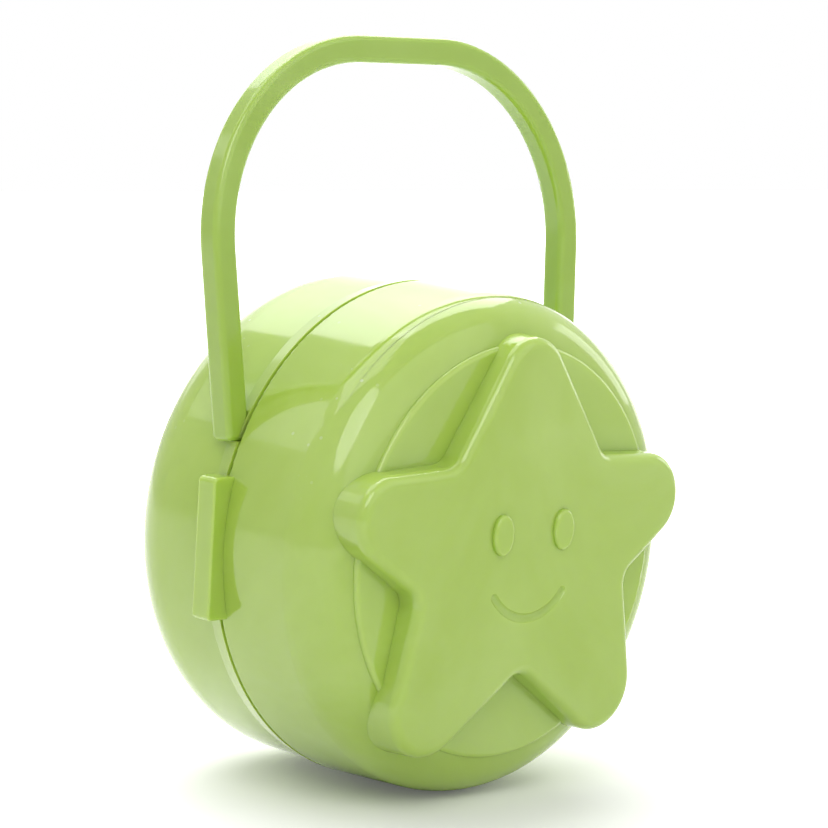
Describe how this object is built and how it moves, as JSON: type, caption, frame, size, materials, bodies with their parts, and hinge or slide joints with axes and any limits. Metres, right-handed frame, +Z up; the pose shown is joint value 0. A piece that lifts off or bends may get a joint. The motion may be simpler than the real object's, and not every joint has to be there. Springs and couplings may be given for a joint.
{
  "type": "pacifier case",
  "caption": "Round clamshell pacifier case: a hollow drum that opens on a pin hinge, with a thumb lip, a puffed smiling star on the lid and a bar carrying handle.",
  "frame": {"origin": "centre of the flat back face of the drum", "axes": "+Z up towards the handle, +Y along the drum axis out of the back face, so the lid faces -Y, and +X towards the hinge"},
  "size_m": [0.0818, 0.05, 0.1106],
  "materials": {
    "case_green": "glossy moulded polypropylene",
    "handle_green": "glossy moulded polypropylene",
    "pin_green": "glossy moulded plastic"
  },
  "bodies": {
    "case": {"back_shell": "case_green", "handle": "handle_green", "hinge_pin": "pin_green"},
    "lid": {"front_shell": "case_green"}
  },
  "joints": [
    {"name": "lid_hinge", "type": "hinge", "parent": "case", "child": "lid", "pos_m": [0.0399, -0.023, 0], "axis": [0, 0, 1], "range_deg": [0, 180]}
  ]
}
